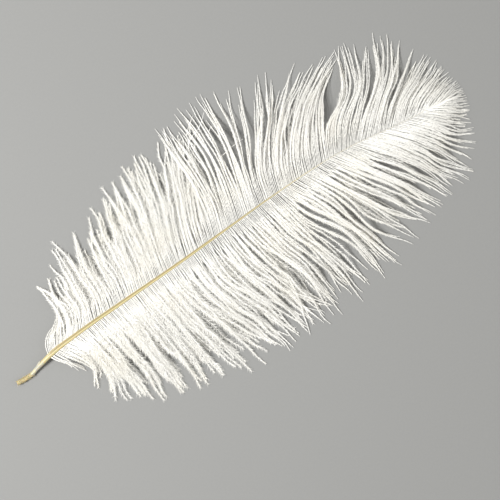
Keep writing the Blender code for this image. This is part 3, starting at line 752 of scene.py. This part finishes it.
# A strand's leading barb is never under it, so each other one is so with a larger share.
UNDER_MORE = 1.4
# How far the barbs that close up together keep from their strand's middle, as a share.
STRAND_SPREAD = 0.3
# The least and the most length of a wave: of strands and barbs under them, and of barbs in them.
LONG_WAVES, SHORT_WAVES = (18.0, 40.0), (10.0, 26.0)
# How far strands, barbs in them and barbs under them wind aside: the least, the most, and what
# full down adds to the most.
STRAND_WINDS, BARB_WINDS, BED_WINDS = (0.05, 0.4, 0.5), (0.03, 0.15, 0.3), (0.2, 0.7, 0.0)
# How far barbs stray, in degrees: sleek ones in a strand and what full down adds, loose ones in
# times what their strand may, and those under it in degrees over that.
SLEEK_STRAY, DOWNY_STRAY, LOOSE_STRAY, BED_STRAY = 0.2, 0.7, 2.5, 1.2
# How late along a barb it strays, the higher the later: in a strand, and under it.
STRAND_SWERVE, BED_SWERVE = 1.8, 1.5
# How much earlier and later than its law says a strand closes up, and what each degree that
# strands stray adds to the later.
CLOSES_EARLY, CLOSES_LATE, CLOSES_LATER = 0.03, 0.04, 0.05
# By what share a strand narrows to its end, and how much of that full down takes away.
NARROWS, DOWN_KEEPS_WIDE = 0.55, 0.7
# How far loose barbs part from their strand again, as a share of all the way.
LOOSENS = (0.5, 1.0)
# The most of its way that a barb beside the leading one reaches, and how much less or more than
# the vane's law one under the strands does.
MOST_REACH, BED_REACH = 0.99, (-0.14, 0.09)
# How far strands lie under and over each other, where they are as uneven as usual, and how far
# barbs lie under and over their strand.
STRAND_LIFTS, BARB_LIFTS = (-0.8, 0.9), (-0.3, 0.3)
# How late along a barb its lift comes in, the higher the later: in a strand, and under it. By
# what factor the barb is longer than the arch that the lift makes.
STRAND_ARCH, BED_ARCH, PAST_ARCH = 1.3, 0.8, 1.05
# How far barbs under the strands are pressed down, and how much downier they are.
BED_DEPTH, BED_DOWN = (0.9, 2.3), 0.35
# The least height of a barb's middle over the table.
BARB_CLEARANCE = 0.35
# No barb is lifted close to the shaft: how far along it that starts and stops to fade, by x.
LEVEL_FROM = ((90, 4.0), (110, 1.3))
LEVEL_UNTIL = ((90, 9.0), (110, 4.5))
# The share of their usual thickness that barbs have at their roots, along x.
SLIM_ROOTS = ((95, 1.0), (120, 0.78), (190, 0.74), (225, 0.6))
# How high barbs root on the shaft, in shares of its radius over its middle, along x.
ROOT_RISE = ((100, 0.05), (150, 0.15), (190, 0.5), (212, 1.4))


def strand_path(row):
    """Evenly spread points down the middle of a strand, from above."""
    foot = shaft_point(row[0])[:2]
    curve = smooth_curve([foot, *np.reshape(row[1:], (3, 2))])
    return points_along(curve, ALONG * lengths_along(curve)[-1])


def height_along(root_height, length):
    """Height over the table along a barb of some length."""
    crest = root_height + CREST_RISE * length
    inner = ((0.0, root_height), (CREST_AT, crest), (MIDDLE_AT, MIDDLE_SHARE * crest))
    smooth = smooth_curve(np.array((*inner, *OUTER_PLACES)) * (length, 1.0), steps=12)
    return np.interp(ALONG * length, smooth[:, 0], smooth[:, 1])


def swept(path, offset):
    """A level path moved to its left by an offset at each place."""
    tangent = unit(np.gradient(path, axis=0))
    return path + np.stack([-tangent[:, 1], tangent[:, 0]], axis=1) * offset[:, None]


def swerve(length, degrees, late=STRAND_SWERVE):
    """How far aside a barb gets along its way, when its end is some degrees off."""
    return length * math.tan(math.radians(degrees)) * ALONG**late


def wave(length, winds, down, step, chance):
    """How far a barb winds aside along its way, fully from the middle of its way on."""
    least, most, more = winds
    turns = length / chance.uniform(*step) * ALONG + chance.random()
    depth = chance.uniform(least, most + more * down)
    return depth * np.minimum(ALONG * 2, 1) * np.sin(2 * math.pi * turns)


class Vane:
    """One side's strands, and how barbs gather in them."""

    def __init__(self, rows, side, laws):
        self.roots = np.array([row[0] for row in rows])
        self.paths = np.array([strand_path(row) for row in rows])
        self.side, self.laws, self.partings = side, laws, np.array(laws["partings"])

    def law(self, name, x):
        """What one of the vane's laws gives at x."""
        return at(self.laws[name], x)

    def free_path(self, own, x):
        """The way of a barb at x if strands didn't close up: between its own and the next."""
        root, path = self.roots[own], self.paths[own]
        other = own + (1 if x > root else -1)
        if 0 <= other < len(self.roots):
            ends = sorted((root, self.roots[other]))
            share = (x - root) / (self.roots[other] - root) * np.ones(PATH_PLACES)
            if np.any((self.partings > ends[0]) & (self.partings < ends[1])):
                share = share * (1 - smooth_step(ALONG, *PARTS))
            path = path + (self.paths[other] - path) * share[:, None]
        return path + (shaft_point(x)[:2] - path[0]) * ((1 - ALONG) ** 3)[:, None]

    def strand_barbs(self, own, roots, chance):
        """The barbs of a strand that have these roots: each one's path, and how downy it is."""
        x_own = self.roots[own]
        down, stray, uneven = (self.law(name, x_own) for name in ("down", "stray", "uneven"))
        parts = max(1, round(len(roots) / self.law("band", x_own)))
        cuts = np.sort(chance.permutation(np.arange(1, len(roots)))[: parts - 1])
        barbs = []
        for part in np.split(roots, cuts):
            middle = self.paths[own]
            line = middle + (self.free_path(own, part.mean()) - middle) * STRAND_SPREAD
            length = lengths_along(line)[-1]
            aside = swerve(length, chance.normal() * stray)
            line = swept(line, aside + wave(length, STRAND_WINDS, down, LONG_WAVES, chance))
            lift = self.law("lift", x_own) + chance.uniform(*STRAND_LIFTS) * uneven
            later = chance.uniform(-CLOSES_EARLY, CLOSES_LATE + CLOSES_LATER * stray)
            closes = self.law("closes", x_own) + later
            pull = smooth_step(ALONG, closes, closes + self.law("closing", x_own))
            leading = chance.integers(len(part))
            for index, x in enumerate(part):
                offset = (index - (len(part) - 1) / 2) * self.law("gap", x)
                if index != leading and chance.random() < self.law("under", x_own) * UNDER_MORE:
                    barbs.append(self.bed_barb(own, x, line, pull, chance))
                else:
                    least = self.law("reach", x)
                    reach = 1.0 if index == leading else chance.uniform(least, MOST_REACH)
                    barbs.append(self.strand_barb(own, x, line, offset, pull, reach, lift, chance))
        return barbs

    def strand_barb(self, own, x, line, offset, pull, reach, lift, chance):
        """One barb of a strand, which joins the strand's line beside the others."""
        free = self.free_path(own, x)
        length = lengths_along(free)[-1]
        down = self.law("down", x)
        spread = SLEEK_STRAY + DOWNY_STRAY * down
        if chance.random() < self.law("loose", x):
            pull = pull * (1 - smooth_step(ALONG, *PARTS_AGAIN) * chance.uniform(*LOOSENS))
            spread = LOOSE_STRAY * self.law("stray", x)
        stray = swerve(length, chance.normal() * spread)
        path = free + (line - free) * pull[:, None]
        narrowing = 1 - NARROWS * ALONG * (1 - DOWN_KEEPS_WIDE * down)
        aside = -self.side * offset * narrowing * pull + stray
        path = swept(path, aside + wave(length, BARB_WINDS, down, SHORT_WAVES, chance))
        return self.raised(x, path, reach, lift + chance.uniform(*BARB_LIFTS)), down

    def bed_barb(self, own, x, line, pull, chance):
        """One barb under the strands: hidden by its own at first, then by itself."""
        free = self.free_path(own, x)
        down = self.law("down", x)
        pull = pull * (1 - smooth_step(ALONG, *PARTS_AGAIN))
        path = free + (line - free) * pull[:, None]
        length = lengths_along(path)[-1]
        aside = swerve(length, chance.normal() * (self.law("stray", x) + BED_STRAY), BED_SWERVE)
        path = swept(path, aside + wave(length, BED_WINDS, down, LONG_WAVES, chance))
        lift = self.law("lift", x) - chance.uniform(*BED_DEPTH) * self.law("uneven", x)
        reach = self.law("reach", x) + chance.uniform(*BED_REACH)
        return self.raised(x, path, reach, lift, BED_ARCH), down + BED_DOWN

    def raised(self, x, path, reach, lift, bend=STRAND_ARCH):
        """A level path cut to its reach, with its height: as in the solid, but for the lift."""
        path = points_along(path, ALONG * lengths_along(path)[-1] * min(1.0, reach))
        over_shaft = shaft_radius(x) * at(ROOT_RISE, x)
        length = lengths_along(path)[-1]
        height = height_along(shaft_point(x)[2] + over_shaft, length)
        arch = np.sin(math.pi * np.minimum(ALONG * PAST_ARCH, 1)) ** bend
        arch = arch * smooth_step(ALONG * length, at(LEVEL_FROM, x), at(LEVEL_UNTIL, x))
        return np.column_stack([path, np.maximum(height + arch * lift, BARB_CLEARANCE)])


# How far from a barb's root its first barbules stand and how near its end the last, how far
# each stands off its even place, and over how much to either side the barb's heading is taken.
FIRST_BARBULE, LAST_BARBULE, BARBULE_OFF, HEADING_OVER = 0.5, 0.15, 0.2, 0.4
# The share of their length that barbules have, by how far they stand from either end.
ROOT_BARBULES = ((0, 0.8), (4, 0.9), (12, 1.0))
END_BARBULES = ((0, 0.35), (5, 0.7), (16, 1.0))
# By what share they grow and shrink in turn along a barb, over what length, and what share of
# that length single ones have. Those of full down are finer by a share.
TUFTS, TUFT_STEP, BARBULE_SHARES, DOWN_FINER = 0.2, (2.0, 3.6), (0.6, 1.25), 0.1
# In degrees, on a sleek barb and what full down adds: how far barbules open from it, how much
# that varies, and how far they stand up or down. All of them are tilted up a little.
OPENING, OPENING_VARIES, STANDING = (20, 24), (4, 9), (25, 25)
TILT = 6
# From where to where along a barb down sets in, and how far from its end it goes again. By what
# share it does, how much less so in the thickest down, and how much less short barbules get there.
DOWN_STARTS, DOWN_ENDS = (3, 13), (0, 22)
DOWN_GOES, THICK_STAYS, THICK_STAYS_LONG = 0.75, 0.5, 0.6


def barbules_on(path, down, sizes, chance):
    """Barbules down both sides of a barb, as points and radii of strands."""
    length = lengths_along(path)[-1]
    places = np.arange(FIRST_BARBULE, length - LAST_BARBULE, sizes["barbule_spacing"])
    count = 2 * len(places)
    spots = np.repeat(places, 2) + chance.uniform(-BARBULE_OFF, BARBULE_OFF, count)
    side = np.where(np.arange(count) % 2, 1.0, -1.0)[:, None]
    root = points_along(path, spots)
    before, after = (points_along(path, spots + over) for over in (-HEADING_OVER, HEADING_OVER))
    ahead = unit(after - before)
    across = unit(np.cross(ahead, UP))
    top = np.cross(across, ahead)
    left = np.maximum(length - spots, 0)
    thick = min(max(2 * down - 1, 0.0), 1.0)
    goes = DOWN_GOES - THICK_STAYS * thick
    downy = down * smooth_step(spots, *DOWN_STARTS)
    downy = downy * (1 - goes * (1 - smooth_step(left, *DOWN_ENDS)))
    opening, varies, standing = (a + b * downy for a, b in (OPENING, OPENING_VARIES, STANDING))
    opening = np.radians(opening + chance.normal(0, 1, count) * varies)[:, None]
    raised = np.radians(chance.uniform(-1, 1, count) * standing + TILT)[:, None]
    out = across * side * np.cos(raised) + top * np.sin(raised)
    way = ahead * np.cos(opening) + out * np.sin(opening)
    near_ends = at(ROOT_BARBULES, spots)
    shrunk = 1 - at(END_BARBULES, left)
    near_ends = near_ends * (1 - shrunk * (1 - THICK_STAYS_LONG * thick))
    turns = spots / chance.uniform(*TUFT_STEP) + chance.random()
    tufts = 1 + TUFTS * np.sin(2 * math.pi * turns)
    size = sizes["sleek_barbule"] + (sizes["downy_barbule"] - sizes["sleek_barbule"]) * downy
    size = size * near_ends * tufts * chance.uniform(*BARBULE_SHARES, count)
    points = np.stack([root, root + way * size[:, None]], axis=1)
    radius = sizes["barbule_root"] / 2 / math.cos(SECTION[0]) * (1 - DOWN_FINER * downy)
    return points, np.repeat(radius[:, None], 2, axis=1)


def barb_groups(barbs, sizes, chance):
    """The strands to draw for some barbs: their own shafts, and all their barbules."""
    shafts = [points_along(p, np.linspace(0, lengths_along(p)[-1], BARB_PLACES)) for p, _ in barbs]
    slim = at(SLIM_ROOTS, [path[0][0] for path, _ in barbs])[:, None]
    root, end = slim * sizes["barb_root"] / 2, sizes["barb_end"] / 2
    radii = end + (root - end) * (1 - np.linspace(0, 1, BARB_PLACES)) ** 3
    sets = [barbules_on(path, down, sizes, chance) for path, down in barbs]
    barbules = tuple(np.concatenate(part) for part in zip(*sets))
    return [(np.array(shafts), radii), barbules]


VANES = {
    "upper": Vane(UPPER_STRANDS, 1, UPPER_LAWS),
    "lower": Vane(LOWER_STRANDS, -1, LOWER_LAWS),
}

# Where in its own even share of the shaft a barb may root.
ROOT_PLACES = (0.3, 0.7)
# Where the vanes start and end along x, and the stretches that each is parted in.
VANE_REACH = (21.5, 268.5)
STRETCHES = (("base", 0.0, 95.0), ("middle", 95.0, 168.0), ("end", 168.0, 280.0))


class PLUME_OT_vanes(bpy.types.Operator):
    """Grows the barbs and barbules of both vanes, in three stretches each"""

    bl_idname = "plume.vanes"
    bl_label = "Vanes of barbs"

    def execute(self, context):
        sizes = sizes_in_millimetres(context)
        material = barb_material(context.scene.plume_colours)
        for vane_name, vane in VANES.items():
            chance = random_numbers(context, vane.side)
            edges = [VANE_REACH[0], *(vane.roots[:-1] + vane.roots[1:]) / 2, VANE_REACH[1]]
            for stretch, start, end in STRETCHES:
                barbs = []
                for own in np.flatnonzero((vane.roots >= start) & (vane.roots < end)):
                    low, high = edges[own], edges[own + 1]
                    many = max(1, round((high - low) / sizes["barb_spacing"]))
                    spread = np.arange(many) + chance.uniform(*ROOT_PLACES, many)
                    barbs += vane.strand_barbs(own, low + spread * (high - low) / many, chance)
                name = f"{vane_name}_vane_{stretch}"
                mesh = strands_mesh(name, barb_groups(barbs, sizes, chance))
                new_piece(name, mesh, material)
        return {"FINISHED"}


# The height that crossing barbs start from, how far they arch over it, and how downy they are.
CROSSING_HEIGHT, CROSSING_ARCH, CROSSING_DOWN = 4.8, 1.2, 0.1


class PLUME_OT_crossing_barbs(bpy.types.Operator):
    """Lays the few loose barbs that cross over the others"""

    bl_idname = "plume.crossing_barbs"
    bl_label = "Crossing barbs"

    def execute(self, context):
        sizes = sizes_in_millimetres(context)
        chance = random_numbers(context, 5)
        barbs = []
        for places in CROSSING_BARBS:
            flat = smooth_curve(places)
            rise = np.sin(math.pi * np.linspace(0, 1, len(flat)))
            height = CROSSING_HEIGHT + CROSSING_ARCH * rise
            barbs.append((np.column_stack([flat, height]), CROSSING_DOWN))
        mesh = strands_mesh("crossing_barbs", barb_groups(barbs, sizes, chance))
        material = bpy.data.materials.get(BARB_MATERIAL)
        material = material or barb_material(context.scene.plume_colours)
        new_piece("crossing_barbs", mesh, material)
        return {"FINISHED"}


# Floor, camera and lights

# The middle of the view, and its width there, in millimetres.
VIEW_CENTRE = (139.96, -8.57, 5.5)
VIEW_WIDTH = 260.0
# How far the plume's length slants up from the view's lower edge.
VIEW_SLANT_DEG = 33.3
SENSOR = 36.0
# In metres, the camera's height and the floor's size, and each light's place, size and power.
CAMERA_HEIGHT, FLOOR_SIZE = 0.75, 6.0
SOFT_BOXES = (("key", (-0.62, 0.34, 1.06), 0.36, 20.0), ("fill", (0.9, -0.5, 0.9), 1.4, 4.5))
DAYLIGHT = "#F4F3F0"
ROOM_STRENGTH = 0.33


def add_soft_box(name, place, size, power):
    """A square area light aimed at the plume's middle."""
    data = bpy.data.lights.new(name, "AREA")
    data.shape = "SQUARE"
    data.size = size
    data.energy = power
    light = new_object(name, data)
    light.location = place
    light.rotation_euler = (-light.location).to_track_quat("-Z", "Y").to_euler()


class PLUME_OT_stage(bpy.types.Operator):
    """Lays a pale floor and sets the camera straight above, with soft light from one side"""

    bl_idname = "plume.stage"
    bl_label = "Floor, camera and lights"

    def execute(self, context):
        scene = context.scene
        bm = bmesh.new()
        bmesh.ops.create_grid(bm, x_segments=1, y_segments=1, size=FLOOR_SIZE / 2)
        mesh = bpy.data.meshes.new("floor")
        bm.to_mesh(mesh)
        bm.free()
        mesh.materials.append(floor_material(scene.plume_colours))
        floor = new_object("floor", mesh)

        data = bpy.data.cameras.new("camera")
        data.sensor_width = SENSOR
        data.lens = SENSOR * CAMERA_HEIGHT / (VIEW_WIDTH * MM)
        camera = new_object("camera", data)
        camera.location = Vector(from_table(VIEW_CENTRE)) + Vector((0, 0, CAMERA_HEIGHT))
        camera.rotation_euler = (0.0, 0.0, -math.radians(VIEW_SLANT_DEG))
        scene.camera = camera
        for name, place, size, power in SOFT_BOXES:
            add_soft_box(name, place, size, power)
        world = bpy.data.worlds.new("soft_studio")
        world.use_nodes = True
        room = {"Color": opaque(linear(DAYLIGHT)), "Strength": ROOM_STRENGTH}
        fill_in(world.node_tree.nodes["Background"], room, {})
        scene.world = world
        scene.view_settings.view_transform = "Standard"
        return {"FINISHED"}


OPERATORS = (
    PLUME_OT_shaft,
    PLUME_OT_frays,
    PLUME_OT_vanes,
    PLUME_OT_crossing_barbs,
    PLUME_OT_stage,
)
GROUPS = {
    "plume_sizes": PlumeSizes,
    "plume_arrangement": PlumeArrangement,
    "plume_colours": PlumeColours,
}


class PLUME_PT_panel(bpy.types.Panel):
    """Lists the plume's sizes, colours and pieces"""

    bl_idname = "PLUME_PT_panel"
    bl_label = "Ostrich plume"
    bl_space_type = "VIEW_3D"
    bl_region_type = "UI"
    bl_category = "Plume"

    def draw(self, context):
        for group_name, kind in GROUPS.items():
            column = self.layout.column(align=True)
            for name in kind.__annotations__:
                column.prop(getattr(context.scene, group_name), name)
        for operator in OPERATORS:
            self.layout.operator(operator.bl_idname)


CLASSES = (*GROUPS.values(), *OPERATORS, PLUME_PT_panel)


def register():
    for entry in CLASSES:
        bpy.utils.register_class(entry)
    for name, kind in GROUPS.items():
        setattr(bpy.types.Scene, name, PointerProperty(type=kind))


def unregister():
    for name in GROUPS:
        delattr(bpy.types.Scene, name)
    for entry in reversed(CLASSES):
        bpy.utils.unregister_class(entry)


def main():
    """Makes every piece."""
    register()
    bpy.ops.plume.shaft()
    bpy.ops.plume.frays()
    bpy.ops.plume.vanes()
    bpy.ops.plume.crossing_barbs()
    bpy.ops.plume.stage()


if __name__ == "__main__":
    main()
